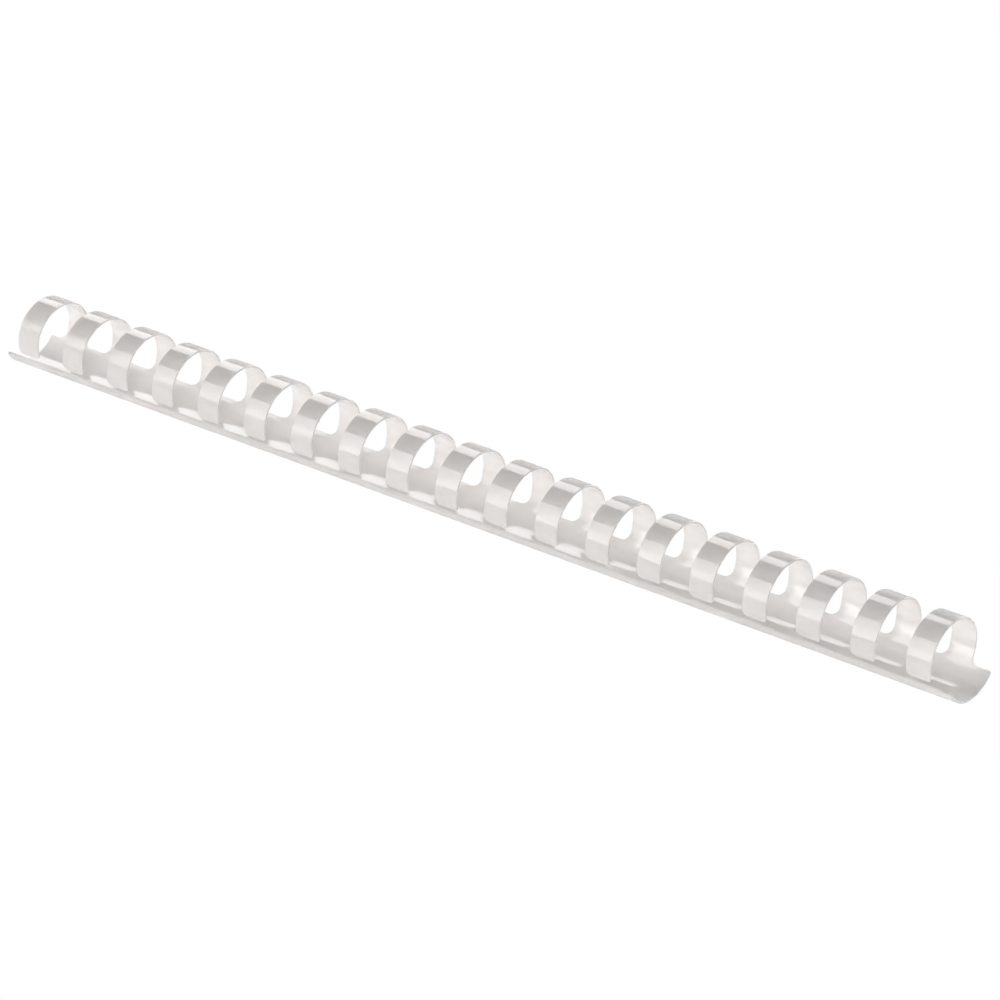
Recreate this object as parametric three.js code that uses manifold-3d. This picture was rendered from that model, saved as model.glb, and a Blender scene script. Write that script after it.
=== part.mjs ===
// Plastic binding comb: a curled strip of thin PVC with a solid back, the spine, and a row of
// fingers that grow from one long edge of the spine and curl over into rings.
//
// Frame: millimetres. X runs along the comb, +Y towards the edge where the fingers are rooted,
// +Z up. The origin is on the outside of the spine, in the middle of its flat bottom, straight
// below the middle finger.
//
// Each finger bends over its whole length when the comb is opened, most of all round the top. It
// is built as three stretches, hinged to the spine and to each other, so that the curl can open.

import * as THREE from "three";
import * as BufferGeometryUtils from "three/addons/utils/BufferGeometryUtils.js";
import Module from "manifold-3d";

// ---- Driving dimensions (mm, and degrees of curl) ----
const RING_COUNT = 19;
const PITCH = 14.2875;             // 9/16 inch between finger centres
const FINGER_WIDTH = 6.3;
const LEFT_MARGIN = 4.2;           // spine beyond the first finger
const RIGHT_MARGIN = 5.3;          // spine beyond the last finger
const WALL = 0.45;                 // sheet thickness
const HALF_WIDTH = 9.8;            // of the outside of the curl
const HALF_HEIGHT = 9.0;
const TUCK = 0.8;                  // how far the finger tips sit inside the spine's lip
const FLAT_HALF_ANGLE = 8;         // of the flat along the bottom of the spine

// Angles round the curl, from its lowest line, positive towards the finger roots
const LIP_ANGLE = -65.5;           // free edge of the spine
const SLOT_ANGLE = 51.5;           // bottoms of the slots between the fingers
const ROOT_ANGLE = 68;             // top of the stub that a finger has on the spine
const TIP_ANGLE = 291.5;           // end of a finger
const STRETCHES = [
  { name: "root", start: ROOT_ANGLE, end: 126 },
  { name: "crown", start: 126, end: 218 },
  { name: "tip", start: 218, end: TIP_ANGLE },
];

const FILLET = 2.0;                // where a finger flares into the spine
const TIP_CORNER = 1.2;            // rounded corners of a finger's end
const LIP_CORNER = 0.8;            // rounded corners of the spine's free edge
const JOINT_GAP = 0.3;             // between neighbouring stretches
const CUTTER_MARGIN = 1.0;         // how far a slot cutter runs past the sheet

const SPINE_STEP = 7;              // degrees of curl in one facet
const FINGER_STEP = 9;
const CORNER_STEPS = 4;            // facets in a rounded corner
const PROBE = 0.5;                 // degrees either side over which the curl's slope is measured

const GAP_WIDTH = PITCH - FINGER_WIDTH;
const FIRST_X = -PITCH * (RING_COUNT - 1) / 2;
const SPINE_LEFT = FIRST_X - FINGER_WIDTH / 2 - LEFT_MARGIN;
const SPINE_RIGHT = -FIRST_X + FINGER_WIDTH / 2 + RIGHT_MARGIN;

const wasm = await Module();
wasm.setup();

const pvc = new THREE.MeshStandardMaterial({ color: 0xeeece6, roughness: 0.3, metalness: 0 });

// ---- The curl: one continuous outline in Y and Z ----

// Point on the outside of the curl. Past the roots the outline winds slightly inwards, so that
// the finger tips end inside the lip.
function curlPoint(degrees) {
  const angle = THREE.MathUtils.degToRad(degrees);
  const flat = THREE.MathUtils.degToRad(FLAT_HALF_ANGLE);
  const wound = THREE.MathUtils.clamp((degrees - ROOT_ANGLE) / (TIP_ANGLE - ROOT_ANGLE), 0, 1);
  const y = (HALF_WIDTH - TUCK * wound) * Math.sin(angle);
  const z = HALF_HEIGHT * Math.cos(flat) - (HALF_HEIGHT - TUCK * wound) * Math.cos(angle);
  return new THREE.Vector2(y, z);
}

// Point at a depth below the outer surface, which is negative outside it
function sheetPoint(degrees, depth) {
  const tangent = curlPoint(degrees + PROBE).sub(curlPoint(degrees - PROBE)).normalize();
  const inwards = new THREE.Vector2(-tangent.y, tangent.x);
  return curlPoint(degrees).addScaledVector(inwards, depth);
}

// Degrees of curl that a short length takes up at a place on the outside
function degreesFor(length, degrees) {
  const around = curlPoint(degrees - PROBE).distanceTo(curlPoint(degrees + PROBE));
  return (length * 2 * PROBE) / around;
}

function anglesBetween(start, end, step) {
  const count = Math.max(1, Math.round((end - start) / step));
  return Array.from({ length: count + 1 }, (_, i) => start + ((end - start) * i) / count);
}

// Distances from the edge at which a rounded corner has its points
function cornerDistances(radius) {
  return Array.from({ length: CORNER_STEPS }, (_, i) => {
    const turn = (i / CORNER_STEPS) * (Math.PI / 2);
    return radius * (1 - Math.cos(turn));
  });
}

// How far a rounded corner draws the side in, at a distance from the edge
function cornerInset(radius, distance) {
  const rest = Math.max(0, radius - distance);
  return radius - Math.sqrt(radius * radius - rest * rest);
}

// Section across the whole width of a strip
function plainSection(angle) {
  return { angle, inset: 0 };
}

// ---- Solids ----

// Closed strip that follows the curl through sections of { angle, left, right }, where left and
// right are its limits in X, from one depth below the outer surface to another.
function stripGeometry(sections, shallow, deep) {
  const positions = [];
  const indices = [];
  for (const { angle, left, right } of sections) {
    const outer = sheetPoint(angle, shallow);
    const inner = sheetPoint(angle, deep);
    positions.push(left, outer.x, outer.y);
    positions.push(right, outer.x, outer.y);
    positions.push(right, inner.x, inner.y);
    positions.push(left, inner.x, inner.y);
  }
  const last = 4 * (sections.length - 1);
  for (let base = 0; base < last; base += 4) {
    for (let side = 0; side < 4; side += 1) {
      const a = base + side;
      const b = base + ((side + 1) % 4);
      indices.push(a, b + 4, b);
      indices.push(a, a + 4, b + 4);
    }
  }
  indices.push(0, 1, 2, 0, 2, 3);
  indices.push(last, last + 2, last + 1, last, last + 3, last + 2);
  const geometry = new THREE.BufferGeometry();
  geometry.setAttribute("position", new THREE.Float32BufferAttribute(positions, 3));
  geometry.setIndex(indices);
  return geometry;
}

function toManifold(geometry) {
  const merged = BufferGeometryUtils.mergeVertices(geometry);
  return new wasm.Manifold(new wasm.Mesh({
    numProp: 3,
    vertProperties: merged.attributes.position.array,
    triVerts: Uint32Array.from(merged.index.array),
  }));
}

function toGeometry(solid) {
  const mesh = solid.getMesh();
  const geometry = new THREE.BufferGeometry();
  geometry.setAttribute("position", new THREE.BufferAttribute(mesh.vertProperties, 3));
  geometry.setIndex(new THREE.BufferAttribute(mesh.triVerts, 1));
  return geometry;
}

// Solid that cuts one slot out of the spine's far edge. Its bottom corners are rounded, which
// leaves the fillets on the sides of the fingers.
function slotCutter(left, right, roundLeft, roundRight) {
  const pastRoot = ROOT_ANGLE + degreesFor(CUTTER_MARGIN, ROOT_ANGLE);
  const rounded = cornerDistances(FILLET).map((distance) => ({
    angle: SLOT_ANGLE + degreesFor(distance, SLOT_ANGLE),
    inset: cornerInset(FILLET, distance),
  }));
  const straightStart = SLOT_ANGLE + degreesFor(FILLET, SLOT_ANGLE);
  const straight = anglesBetween(straightStart, pastRoot, SPINE_STEP);
  const sections = [...rounded, ...straight.map(plainSection)].map(({ angle, inset }) => ({
    angle,
    left: left + (roundLeft ? inset : 0),
    right: right - (roundRight ? inset : 0),
  }));
  return toManifold(stripGeometry(sections, -CUTTER_MARGIN, WALL + CUTTER_MARGIN));
}

// The spine with the stub of each finger on its far edge
function spineGeometry() {
  const top = ROOT_ANGLE - degreesFor(JOINT_GAP / 2, ROOT_ANGLE);
  const lip = cornerDistances(LIP_CORNER).map((distance) => ({
    angle: LIP_ANGLE + degreesFor(distance, LIP_ANGLE),
    inset: cornerInset(LIP_CORNER, distance),
  }));
  const lipEnd = LIP_ANGLE + degreesFor(LIP_CORNER, LIP_ANGLE);
  const plain = [
    ...anglesBetween(lipEnd, -FLAT_HALF_ANGLE, SPINE_STEP),
    ...anglesBetween(FLAT_HALF_ANGLE, top, SPINE_STEP),
  ].map(plainSection);
  const sections = [...lip, ...plain].map(({ angle, inset }) => ({
    angle,
    left: SPINE_LEFT + inset,
    right: SPINE_RIGHT - inset,
  }));
  let spine = toManifold(stripGeometry(sections, 0, WALL));

  const firstSide = FIRST_X - FINGER_WIDTH / 2;
  const lastSide = -FIRST_X + FINGER_WIDTH / 2;
  spine = spine.subtract(slotCutter(SPINE_LEFT - CUTTER_MARGIN, firstSide, false, true));
  spine = spine.subtract(slotCutter(lastSide, SPINE_RIGHT + CUTTER_MARGIN, true, false));
  for (let i = 0; i < RING_COUNT - 1; i += 1) {
    const left = FIRST_X + i * PITCH + FINGER_WIDTH / 2;
    spine = spine.subtract(slotCutter(left, left + GAP_WIDTH, true, true));
  }
  return toGeometry(spine);
}

// One stretch of a finger, centred on X = 0. The last one has the rounded tip.
function stretchGeometry(stretch) {
  const isTip = stretch.end === TIP_ANGLE;
  const start = stretch.start + degreesFor(JOINT_GAP / 2, stretch.start);
  const end = isTip ? TIP_ANGLE : stretch.end - degreesFor(JOINT_GAP / 2, stretch.end);
  const cornerLength = isTip ? degreesFor(TIP_CORNER, TIP_ANGLE) : 0;
  const sections = anglesBetween(start, end - cornerLength, FINGER_STEP).map(plainSection);
  if (isTip) {
    for (const distance of cornerDistances(TIP_CORNER).reverse()) {
      sections.push({
        angle: TIP_ANGLE - degreesFor(distance, TIP_ANGLE),
        inset: cornerInset(TIP_CORNER, distance),
      });
    }
  }
  const placed = sections.map(({ angle, inset }) => ({
    angle,
    left: -FINGER_WIDTH / 2 + inset,
    right: FINGER_WIDTH / 2 - inset,
  }));
  return stripGeometry(placed, 0, WALL);
}

// ---- Assembly ----

function namedMesh(name, geometry) {
  const mesh = new THREE.Mesh(geometry, pvc);
  mesh.name = name;
  return mesh;
}

const comb = new THREE.Group();
comb.add(namedMesh("spine", spineGeometry()));

const stretchGeometries = STRETCHES.map(stretchGeometry);
for (let ring = 0; ring < RING_COUNT; ring += 1) {
  const finger = new THREE.Group();
  finger.position.x = FIRST_X + ring * PITCH;
  const number = String(ring + 1).padStart(2, "0");
  STRETCHES.forEach((stretch, index) => {
    finger.add(namedMesh(`ring_${number}_${stretch.name}`, stretchGeometries[index]));
  });
  comb.add(finger);
}

export default comb;
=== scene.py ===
"""A white plastic binding comb on a light table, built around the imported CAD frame.

The comb is one sheet of PVC. Each visible piece is cut from its flat pattern, where a point is
(x, s): x along the comb, and s the distance round the curl from the lip of the spine. The pattern
is then given its thickness and rounded edges, and rolled up. Lengths are in metres.
"""

import math

import bmesh
import bpy
import numpy as np
from mathutils import Matrix, Vector


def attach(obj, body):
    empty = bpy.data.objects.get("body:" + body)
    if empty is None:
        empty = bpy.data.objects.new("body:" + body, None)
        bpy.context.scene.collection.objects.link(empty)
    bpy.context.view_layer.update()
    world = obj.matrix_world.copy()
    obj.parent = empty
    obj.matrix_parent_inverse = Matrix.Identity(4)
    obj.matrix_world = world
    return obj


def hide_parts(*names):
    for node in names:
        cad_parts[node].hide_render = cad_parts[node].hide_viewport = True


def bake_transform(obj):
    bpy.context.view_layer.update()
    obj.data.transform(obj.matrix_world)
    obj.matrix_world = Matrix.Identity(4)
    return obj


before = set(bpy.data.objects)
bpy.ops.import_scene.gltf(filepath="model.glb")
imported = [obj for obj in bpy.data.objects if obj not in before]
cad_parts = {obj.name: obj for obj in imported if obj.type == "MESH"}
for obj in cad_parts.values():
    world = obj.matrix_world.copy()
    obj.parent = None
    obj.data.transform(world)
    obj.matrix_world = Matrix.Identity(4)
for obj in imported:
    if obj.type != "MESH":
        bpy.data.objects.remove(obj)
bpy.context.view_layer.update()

MM = 0.001

# ---- Driving dimensions of the comb, the same as the CAD model's ----
RING_COUNT = 19
PITCH = 14.2875 * MM
FINGER_WIDTH = 6.3 * MM
LEFT_MARGIN = 4.2 * MM
RIGHT_MARGIN = 5.3 * MM
WALL = 0.45 * MM
HALF_WIDTH = 9.8 * MM
HALF_HEIGHT = 9.0 * MM
TUCK = 0.8 * MM
FILLET = 2.0 * MM
TIP_CORNER = 1.2 * MM
LIP_CORNER = 0.8 * MM
END_CORNER = 0.5 * MM

# Angles round the curl in degrees, from its lowest line, positive towards the finger roots
FLAT_HALF_ANGLE = 8.0
LIP_ANGLE = -65.5
SLOT_ANGLE = 51.5
ROOT_ANGLE = 68.0
TIP_ANGLE = 291.5

# A finger is three pieces. Each starts at one of these angles, and runs to the next or to the tip.
SEAM_ANGLES = (56.0, 80.0, 172.0)
STRETCHES = ("root", "crown", "tip")

# ---- How the sheet is meshed ----
EDGE_RADIUS = 0.08 * MM            # rounding of the cut edges
EDGE_TURNS = (30.0, 60.0, 90.0)
SUPPORT = 0.06 * MM                # width of the faces beside an edge or a seam
SEAM_CLEARANCE = 1.5 * SUPPORT     # other rows keep at least this far from a seam
SAME_ROW = 0.1 * SUPPORT           # rows closer together than this are one row
ROW_SPACING = 0.35 * MM
END_COLUMNS = 2                    # columns at each end of the spine, beyond its straight ones
GAP_COLUMNS = 2                    # columns between the feet of two fingers
CORNER_TURNS = (0.0, 15.0, 30.0, 45.0, 60.0, 75.0, 90.0)
PATTERN_UNIT = 0.1                 # length that one unit of the pattern's UV map stands for

FIRST_X = -PITCH * (RING_COUNT - 1) / 2
RING_X = [FIRST_X + ring * PITCH for ring in range(RING_COUNT)]
SPINE_LEFT = FIRST_X - FINGER_WIDTH / 2 - LEFT_MARGIN
SPINE_RIGHT = -FIRST_X + FINGER_WIDTH / 2 + RIGHT_MARGIN
FOOT_HALF = FINGER_WIDTH / 2 + FILLET


# ---- The curl ----

def curl(degrees):
    """Y and Z on the outside of the curl, which is flat along the bottom."""
    angle = np.radians(degrees)
    wound = np.clip((degrees - ROOT_ANGLE) / (TIP_ANGLE - ROOT_ANGLE), 0, 1)
    centre_z = HALF_HEIGHT * math.cos(math.radians(FLAT_HALF_ANGLE))
    y = (HALF_WIDTH - TUCK * wound) * np.sin(angle)
    z = centre_z - (HALF_HEIGHT - TUCK * wound) * np.cos(angle)
    return y, np.maximum(z, 0)


CURL_MARGIN = 1.0                  # degrees of curl measured beyond the lip and the tips
CURL_STEPS = 8000
SLOPE_STEP = 0.1 * MM

CURL_ANGLES = np.linspace(LIP_ANGLE - CURL_MARGIN, TIP_ANGLE + CURL_MARGIN, CURL_STEPS + 1)
CURL_Y, CURL_Z = curl(CURL_ANGLES)
CURL_S = np.concatenate([[0], np.cumsum(np.hypot(np.diff(CURL_Y), np.diff(CURL_Z)))])


def length_at(degrees):
    """Distance round the curl to an angle."""
    return float(np.interp(degrees, CURL_ANGLES, CURL_S))


def outside(s):
    """Y and Z on the outside of the curl, at a distance round it."""
    return np.interp(s, CURL_S, CURL_Y), np.interp(s, CURL_S, CURL_Z)


def rolled(x, s, depth):
    """Points in space of the flat pattern's points, at their depths below the outer surface."""
    y, z = outside(s)
    y_before, z_before = outside(s - SLOPE_STEP)
    y_after, z_after = outside(s + SLOPE_STEP)
    across, up = y_after - y_before, z_after - z_before
    length = np.hypot(across, up)
    return np.stack([x, y - up / length * depth, z + across / length * depth], axis=-1)


LIP_S = length_at(LIP_ANGLE)
SLOT_S = length_at(SLOT_ANGLE)
TIP_S = length_at(TIP_ANGLE)
SEAM_S = [length_at(angle) for angle in SEAM_ANGLES]


# ---- Outline of the flat pattern, drawn in by the rounding of its edge ----

def corner_rows(radius):
    """Distances from a strip's end at which its rounded corners have their rows."""
    return [radius * (1 - math.cos(math.radians(turn))) for turn in CORNER_TURNS]


def corner_side(distance, radius):
    """How far a rounded corner draws the side in, at a distance from the strip's end, and the
    side's outward direction there: across the strip, and towards its end."""
    rise = max(radius - distance, 0.0)
    across = math.sqrt(max(radius * radius - rise * rise, 0.0))
    return radius - across, (across / radius, rise / radius)


def finger_side(s):
    """Half of a finger's width at s, and the outward direction of its +X side."""
    rise = SLOT_S + FILLET - s
    if rise > 0:
        radius = FILLET + EDGE_RADIUS
        across = math.sqrt(max(radius * radius - rise * rise, 0.0))
        return FINGER_WIDTH / 2 + FILLET - across, (across / radius, rise / radius)
    inset, direction = corner_side(TIP_S - EDGE_RADIUS - s, TIP_CORNER - EDGE_RADIUS)
    return FINGER_WIDTH / 2 - EDGE_RADIUS - inset, direction


def even_rows(start, end):
    """Rows from one place on the curl to another."""
    count = max(1, round((end - start) / ROW_SPACING))
    return list(np.linspace(start, end, count + 1))


def finger_rows():
    """All the rows of a finger, from its foot to its tip, with close rows beside each seam."""
    fillet_radius = FILLET + EDGE_RADIUS
    corner_radius = TIP_CORNER - EDGE_RADIUS
    tip = TIP_S - EDGE_RADIUS
    fillet = [SLOT_S - EDGE_RADIUS + d for d in corner_rows(fillet_radius)]
    corner = [tip - d for d in corner_rows(corner_radius)]
    rows = [*fillet, *even_rows(SLOT_S + FILLET, tip - corner_radius), *corner, tip - SUPPORT]
    rows = [s for s in rows if all(abs(s - seam) > SEAM_CLEARANCE for seam in SEAM_S)]
    rows += [seam + side * SUPPORT for seam in SEAM_S for side in (-1, 0, 1)]
    return spaced(rows)


def spaced(rows):
    """The rows in order, without any that repeat."""
    rows = sorted(rows)
    return [s for s, before in zip(rows, [-math.inf, *rows]) if s - before > SAME_ROW]


FINGER_ROWS = finger_rows()


def rows_between(start, end):
    """The rows of a finger from start to end, with both of those."""
    return [s for s in FINGER_ROWS if start - SAME_ROW < s < end + SAME_ROW]


def finger_columns(centre, half):
    """Places across a finger, with close columns beside its two sides."""
    offsets = (-half, SUPPORT - half, -half / 2, 0.0, half / 2, half - SUPPORT, half)
    return [centre + offset for offset in offsets]


# ---- Sheets ----

class Sheet:
    """A piece of the flat pattern: points (x, s), four-sided faces, and for each point on a cut
    edge the outward direction there."""

    def __init__(self):
        self.points = []
        self.faces = []
        self.outward = {}

    def add_row(self, xs, s, side):
        """A row of points, whose two ends are on cut edges facing outwards."""
        first = len(self.points)
        self.points += [(x, s) for x in xs]
        row = list(range(first, len(self.points)))
        across, along = side
        self.outward[row[0]] = (-across, along)
        self.outward[row[-1]] = (across, along)
        return row

    def join(self, low, high):
        for i in range(len(low) - 1):
            self.faces.append((low[i], low[i + 1], high[i + 1], high[i]))

    def add_end(self, row, along):
        """Make a whole row a cut edge that faces along the curl."""
        for i in row[1:-1]:
            self.outward[i] = (0.0, along)

    def add_finger(self, centre, rows, foot=None):
        """The given rows of a finger, which carry on from its foot if that exists."""
        previous = foot
        for s in rows:
            half, side = finger_side(s)
            row = self.add_row(finger_columns(centre, half), s, side)
            if previous is not None:
                self.join(previous, row)
            previous = row
        return previous

    def free_edges(self):
        """Edges with a face on one side only, in the direction that the face runs."""
        edges = set()
        for face in self.faces:
            for a, b in zip(face, face[1:] + face[:1]):
                if (b, a) in edges:
                    edges.remove((b, a))
                else:
                    edges.add((a, b))
        return sorted(edges)

    def to_mesh(self, name):
        """The sheet with its thickness and rounded edges, rolled up into a closed mesh."""
        rounding = [
            (EDGE_RADIUS * math.sin(turn), EDGE_RADIUS * (1 - math.cos(turn)))
            for turn in np.radians(EDGE_TURNS)
        ]
        profile = rounding + [(out, WALL - depth) for out, depth in reversed(rounding)]

        count = len(self.points)
        solid = [(x, s, 0.0) for x, s in self.points] + [(x, s, WALL) for x, s in self.points]
        chains = {}
        for i, (across, along) in self.outward.items():
            x, s = self.points[i]
            first = len(solid)
            solid += [(x + across * out, s + along * out, depth) for out, depth in profile]
            chains[i] = (i, *range(first, len(solid)), count + i)

        surface = self.faces + [tuple(count + i for i in reversed(face)) for face in self.faces]
        cut_edge = []
        seam = []
        for a, b in self.free_edges():
            if a in chains and b in chains:
                steps_a = zip(chains[a], chains[a][1:])
                steps_b = zip(chains[b], chains[b][1:])
                cut_edge += [(b0, a0, a1, b1) for (a0, a1), (b0, b1) in zip(steps_a, steps_b)]
            else:
                seam.append((b, a, count + a, count + b))
                seam += [chains[i] for i in (a, b) if i in chains]

        mesh = bpy.data.meshes.new(name)
        solid = np.array(solid)
        mesh.from_pydata(rolled(*solid.T), [], surface + cut_edge + seam)
        corners = np.empty(len(mesh.loops), int)
        mesh.loops.foreach_get("vertex_index", corners)
        pattern = mesh.uv_layers.new(name="pattern")
        pattern.uv.foreach_set("vector", (solid[corners, :2] / PATTERN_UNIT).ravel())

        work = bmesh.new()
        work.from_mesh(mesh)
        work.faces.ensure_lookup_table()
        for face in work.faces:
            face.smooth = True
        for face in work.faces[len(surface):len(surface) + len(cut_edge)]:
            face.material_index = 1
        for face in work.faces[len(surface) + len(cut_edge):]:
            for edge in face.edges:
                edge.smooth = False
        bmesh.ops.recalc_face_normals(work, faces=work.faces)
        work.to_mesh(mesh)
        work.free()
        return mesh


def spine_sheet():
    """The spine, with the foot of each finger up to the first seam."""
    sheet = Sheet()
    left = SPINE_LEFT + EDGE_RADIUS
    right = SPINE_RIGHT - EDGE_RADIUS
    lip = LIP_S + EDGE_RADIUS
    top = SLOT_S - EDGE_RADIUS
    lip_radius = LIP_CORNER - EDGE_RADIUS
    end_radius = END_CORNER - EDGE_RADIUS

    columns = [left + lip_radius]
    feet = []
    for centre in RING_X:
        foot = finger_columns(centre, FOOT_HALF)
        if feet:
            columns += list(np.linspace(columns[-1], foot[0], GAP_COLUMNS + 2)[1:-1])
        first = END_COLUMNS + len(columns)
        feet.append(slice(first, first + len(foot)))
        columns += foot
    columns.append(right - lip_radius)

    rows = [lip + d for d in corner_rows(lip_radius)] + [lip + SUPPORT]
    rows += even_rows(lip + lip_radius, top - end_radius)
    rows += [top - d for d in corner_rows(end_radius)] + [top - SUPPORT]
    previous = None
    for s in spaced(rows):
        lip_inset, (lip_across, lip_along) = corner_side(s - lip, lip_radius)
        end_inset, (end_across, end_along) = corner_side(top - s, end_radius)
        start = left + lip_inset + end_inset
        end = right - lip_inset - end_inset
        side = (min(lip_across, end_across), end_along - lip_along)
        row = sheet.add_row([start, start + SUPPORT, *columns, end - SUPPORT, end], s, side)
        if previous is None:
            sheet.add_end(row, -1.0)
        else:
            sheet.join(previous, row)
        previous = row

    sheet.add_end(previous, 1.0)
    for centre, place in zip(RING_X, feet):
        foot = previous[place]
        for i in foot[1:-1]:
            del sheet.outward[i]
        sheet.add_finger(centre, rows_between(top, SEAM_S[0])[1:], foot)
    return sheet


def finger_sheet(centre, part):
    """One of the three pieces of a finger."""
    sheet = Sheet()
    ends = [*SEAM_S, TIP_S]
    last = sheet.add_finger(centre, rows_between(ends[part], ends[part + 1]))
    if ends[part + 1] == TIP_S:
        sheet.add_end(last, 1.0)
    return sheet


# ---- Materials ----

PVC_IOR = 1.54
PVC_SPECULAR = 1.0
COAT_WEIGHT = 1.0
COAT_ROUGHNESS = 0.04
THROUGH_SHARE = 0.55               # of the translucent shader in the sheet's mix
THROUGH_COLOUR = (0.98, 0.965, 0.955)

# Scales are in units of the pattern's UV map
CLOUD_SCALE = 18.0
CLOUD_DETAIL = 4.0
CLOUD_RANGE = (0.3, 0.7)
CLOUD_SHADE = 0.97
GLOSS_SCALE = 60.0
GLOSS_DETAIL = 3.0
GLOSS_RANGE = (0.8, 1.25)
LINE_SCALE = (400.0, 12.0, 1.0)    # lines that run round the curl
LINE_DETAIL = 2.0
LINE_DEPTH = 0.01 * MM


def noise(nodes, links, vector, scale, detail):
    texture = nodes.new("ShaderNodeTexNoise")
    texture.inputs["Scale"].default_value = scale
    texture.inputs["Detail"].default_value = detail
    links.new(vector, texture.inputs["Vector"])
    return texture.outputs["Fac"]


def pvc_material(name, base, roughness, bump_strength):
    """Glossy white PVC that lets some light through the sheet, with faint clouding, a slightly
    uneven gloss and shallow lines."""
    material = bpy.data.materials.new(name)
    material.use_nodes = True
    nodes = material.node_tree.nodes
    links = material.node_tree.links
    shader = nodes["Principled BSDF"]
    shader.inputs["IOR"].default_value = PVC_IOR
    shader.inputs["Specular IOR Level"].default_value = PVC_SPECULAR
    shader.inputs["Coat Weight"].default_value = COAT_WEIGHT
    shader.inputs["Coat Roughness"].default_value = COAT_ROUGHNESS

    pattern = nodes.new("ShaderNodeUVMap")
    pattern.uv_map = "pattern"

    cloud = noise(nodes, links, pattern.outputs["UV"], CLOUD_SCALE, CLOUD_DETAIL)
    tint = nodes.new("ShaderNodeValToRGB")
    shaded, plain = tint.color_ramp.elements
    shaded.position, plain.position = CLOUD_RANGE
    shaded.color = (*[channel * CLOUD_SHADE for channel in base], 1.0)
    plain.color = (*base, 1.0)
    links.new(cloud, tint.inputs["Fac"])
    links.new(tint.outputs["Color"], shader.inputs["Base Color"])

    gloss = nodes.new("ShaderNodeMapRange")
    gloss.inputs["To Min"].default_value = roughness * GLOSS_RANGE[0]
    gloss.inputs["To Max"].default_value = roughness * GLOSS_RANGE[1]
    speckle = noise(nodes, links, pattern.outputs["UV"], GLOSS_SCALE, GLOSS_DETAIL)
    links.new(speckle, gloss.inputs["Value"])
    links.new(gloss.outputs["Result"], shader.inputs["Roughness"])

    stretched = nodes.new("ShaderNodeMapping")
    stretched.inputs["Scale"].default_value = LINE_SCALE
    links.new(pattern.outputs["UV"], stretched.inputs["Vector"])
    bump = nodes.new("ShaderNodeBump")
    bump.inputs["Strength"].default_value = bump_strength
    bump.inputs["Distance"].default_value = LINE_DEPTH
    lines = noise(nodes, links, stretched.outputs["Vector"], 1.0, LINE_DETAIL)
    links.new(lines, bump.inputs["Height"])
    links.new(bump.outputs["Normal"], shader.inputs["Normal"])

    through = nodes.new("ShaderNodeBsdfTranslucent")
    through.inputs["Color"].default_value = (*THROUGH_COLOUR, 1.0)
    both = nodes.new("ShaderNodeMixShader")
    both.inputs["Fac"].default_value = THROUGH_SHARE
    links.new(shader.outputs["BSDF"], both.inputs[1])
    links.new(through.outputs["BSDF"], both.inputs[2])
    links.new(both.outputs["Shader"], nodes["Material Output"].inputs["Surface"])
    return material


SURFACE = pvc_material("white_pvc", base=(0.955, 0.935, 0.92), roughness=0.07, bump_strength=0.3)
CUT_EDGE = pvc_material("white_pvc_cut_edge", base=(0.97, 0.955, 0.945), roughness=0.35, bump_strength=0.8)


# ---- Pieces ----

def add_piece(name, sheet):
    """A visible piece made from a sheet, whose cut edges have their own material."""
    mesh = sheet.to_mesh(name)
    mesh.materials.append(SURFACE)
    mesh.materials.append(CUT_EDGE)
    piece = bpy.data.objects.new(name, mesh)
    bpy.context.scene.collection.objects.link(piece)
    return piece


def add_spine():
    spine = add_piece("comb_spine", spine_sheet())
    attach(spine, "spine")
    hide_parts("spine")


def add_finger(number, x):
    """A finger's three pieces, each put in place of the CAD part that it hides."""
    bodies = ["spine", *(f"ring_{number}_{stretch}" for stretch in STRETCHES)]
    for part, stretch in enumerate(STRETCHES):
        piece = add_piece(f"finger_{number}_{stretch}", finger_sheet(x, part))
        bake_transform(piece)
        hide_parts(bodies[part + 1])


# ---- Table, light and camera ----

WHITE = (1.0, 1.0, 1.0, 1.0)
BLACK = (0.0, 0.0, 0.0, 1.0)

ROOM_HALF = 6.0
TABLE_COLOUR = (0.7, 0.7, 0.7, 1.0)
TABLE_ROUGHNESS = 0.9
TABLE_GLOW = 0.25
BACKDROP_GLOW = 1.0
BACKDROP_DROP = 1.0 * MM           # from the table to the floor of the backdrop

# Brightness of the room by the sine of the elevation: a pale wall all round, and a dim ceiling
WALL_GLOW = 0.7
CEILING_GLOW = 0.1
WALL_TOP = 0.36
CEILING_START = 0.44

SOFTBOX_DISTANCE = 2.0

CAMERA_AZIMUTH = 37.26
CAMERA_ELEVATION = 27.86
CAMERA_ROLL = 0.18
CAMERA_DISTANCE = 1.122
CAMERA_LENS = 174.76
CAMERA_TARGET = Vector((4.46, 5.70, 3.48)) * MM


def square(height):
    """Corners of a level square as wide as the room, at a height."""
    half = ROOM_HALF
    corners = [(-half, -half), (half, -half), (half, half), (-half, half)]
    return [(x, y, height) for x, y in corners]


def add_stage(name, corners, faces):
    """A part of the set, and the settings of its surface."""
    mesh = bpy.data.meshes.new(name)
    mesh.from_pydata(corners, [], faces)
    piece = bpy.data.objects.new(name, mesh)
    bpy.context.scene.collection.objects.link(piece)
    material = bpy.data.materials.new(name)
    material.use_nodes = True
    mesh.materials.append(material)
    return piece, material.node_tree.nodes["Principled BSDF"].inputs


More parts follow.
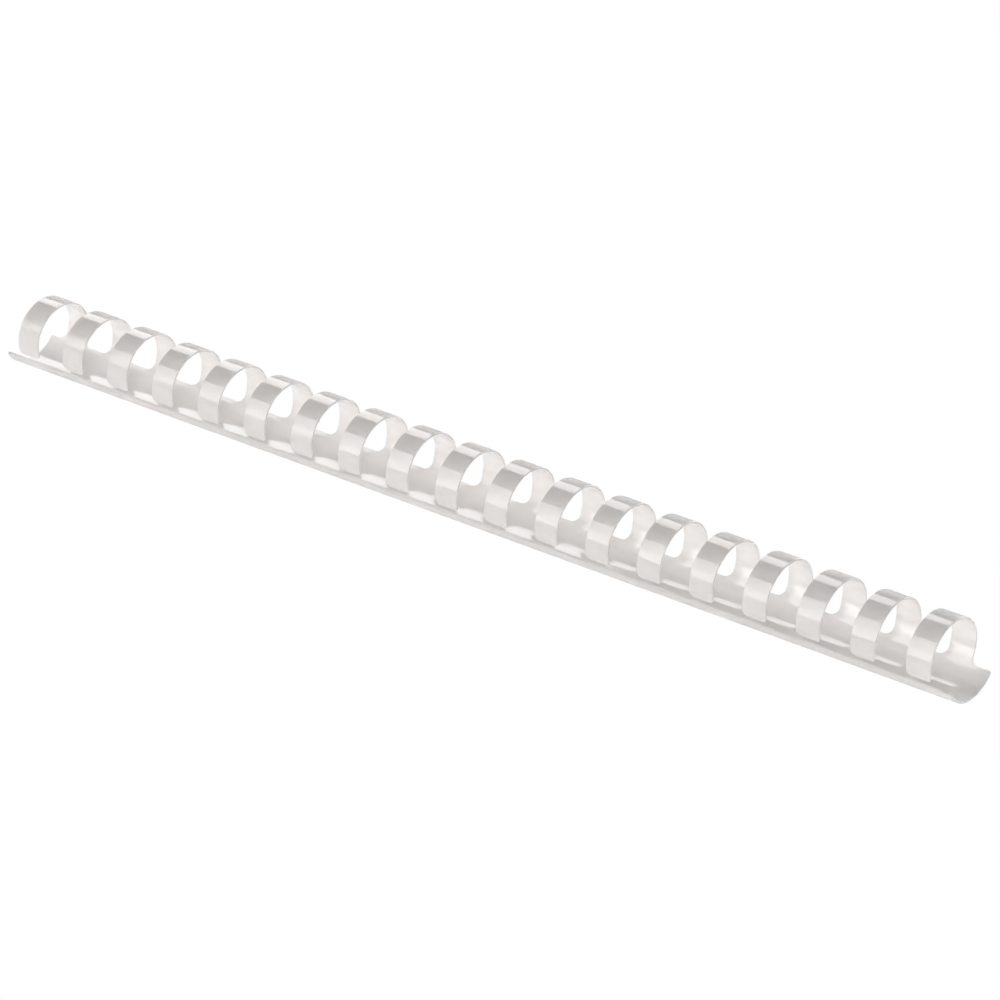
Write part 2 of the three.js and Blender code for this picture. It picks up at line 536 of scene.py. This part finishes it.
def add_table():
    """A light table under the comb. The camera sees an even white on all sides instead."""
    table, surface = add_stage("table", square(0.0), [(0, 1, 2, 3)])
    surface["Base Color"].default_value = TABLE_COLOUR
    surface["Roughness"].default_value = TABLE_ROUGHNESS
    surface["Specular IOR Level"].default_value = 0.0
    surface["Emission Color"].default_value = WHITE
    surface["Emission Strength"].default_value = TABLE_GLOW
    table.visible_camera = False

    sides = [(i, (i + 1) % 4, (i + 1) % 4 + 4, i + 4) for i in range(4)]
    corners = square(-BACKDROP_DROP) + square(ROOM_HALF)
    backdrop, glow = add_stage("white_backdrop", corners, [(0, 1, 2, 3), (4, 5, 6, 7), *sides])
    glow["Base Color"].default_value = BLACK
    glow["Specular IOR Level"].default_value = 0.0
    glow["Emission Color"].default_value = WHITE
    glow["Emission Strength"].default_value = BACKDROP_GLOW
    backdrop.visible_diffuse = False
    backdrop.visible_glossy = False
    backdrop.visible_transmission = False
    backdrop.visible_shadow = False


def add_room():
    """Even light from the walls all round, which fades to a dim ceiling."""
    world = bpy.data.worlds.new("room")
    bpy.context.scene.world = world
    world.use_nodes = True
    nodes = world.node_tree.nodes
    links = world.node_tree.links
    direction = nodes.new("ShaderNodeTexCoord")
    split = nodes.new("ShaderNodeSeparateXYZ")
    fade = nodes.new("ShaderNodeMapRange")
    fade.inputs["From Min"].default_value = WALL_TOP
    fade.inputs["From Max"].default_value = CEILING_START
    fade.inputs["To Min"].default_value = WALL_GLOW
    fade.inputs["To Max"].default_value = CEILING_GLOW
    links.new(direction.outputs["Generated"], split.inputs["Vector"])
    links.new(split.outputs["Z"], fade.inputs["Value"])
    links.new(fade.outputs["Result"], nodes["Background"].inputs["Strength"])
    nodes["Background"].inputs["Color"].default_value = WHITE


def add_softbox(name, along, rise, width, height, roll, glow):
    """A rectangular light aimed at the comb. along is the X of its direction, rise the angle in
    degrees from the far horizon, seen along the comb, and glow its brightness."""
    across = math.sqrt(1 - along * along)
    turn = math.radians(rise)
    direction = Vector((along, across * math.cos(turn), across * math.sin(turn)))
    side = Vector((0, 0, 1)).cross(direction).normalized()
    level = Matrix((side, direction.cross(side), direction)).transposed()
    light = bpy.data.lights.new(name, "AREA")
    light.shape = "RECTANGLE"
    light.size = width
    light.size_y = height
    light.energy = math.pi * width * height * glow
    softbox = bpy.data.objects.new(name, light)
    bpy.context.scene.collection.objects.link(softbox)
    softbox.location = direction * SOFTBOX_DISTANCE
    softbox.rotation_euler = (level @ Matrix.Rotation(math.radians(roll), 3, "Z")).to_euler()
    softbox.visible_camera = False


def add_camera():
    """A level camera turned by its roll, and aimed at a point on the comb."""
    azimuth = math.radians(CAMERA_AZIMUTH)
    elevation = math.radians(CAMERA_ELEVATION)
    right = Vector((math.cos(azimuth), math.sin(azimuth), 0.0))
    back = Vector((
        math.sin(azimuth) * math.cos(elevation),
        -math.cos(azimuth) * math.cos(elevation),
        math.sin(elevation),
    ))
    level = Matrix((right, back.cross(right), back)).transposed()
    turn = level @ Matrix.Rotation(math.radians(CAMERA_ROLL), 3, "Z")
    data = bpy.data.cameras.new("camera")
    data.lens = CAMERA_LENS
    camera = bpy.data.objects.new("camera", data)
    bpy.context.scene.collection.objects.link(camera)
    camera.location = CAMERA_TARGET + back * CAMERA_DISTANCE
    camera.rotation_euler = turn.to_euler()
    bpy.context.scene.camera = camera


add_spine()
for ring, ring_x in enumerate(RING_X):
    add_finger(f"{ring + 1:02d}", ring_x)
add_table()
add_room()
# The first two are what the fingers mirror, and the third lights the roots from behind
add_softbox("far_softbox", along=-0.54, rise=46, width=0.66, height=1.1, roll=20, glow=3.6)
add_softbox("near_softbox", along=-0.45, rise=151, width=1.0, height=2.1, roll=20, glow=2.7)
add_softbox("back_softbox", along=0.3, rise=13, width=1.8, height=0.7, roll=0, glow=8.0)
add_camera()
bpy.context.scene.view_settings.view_transform = "Standard"
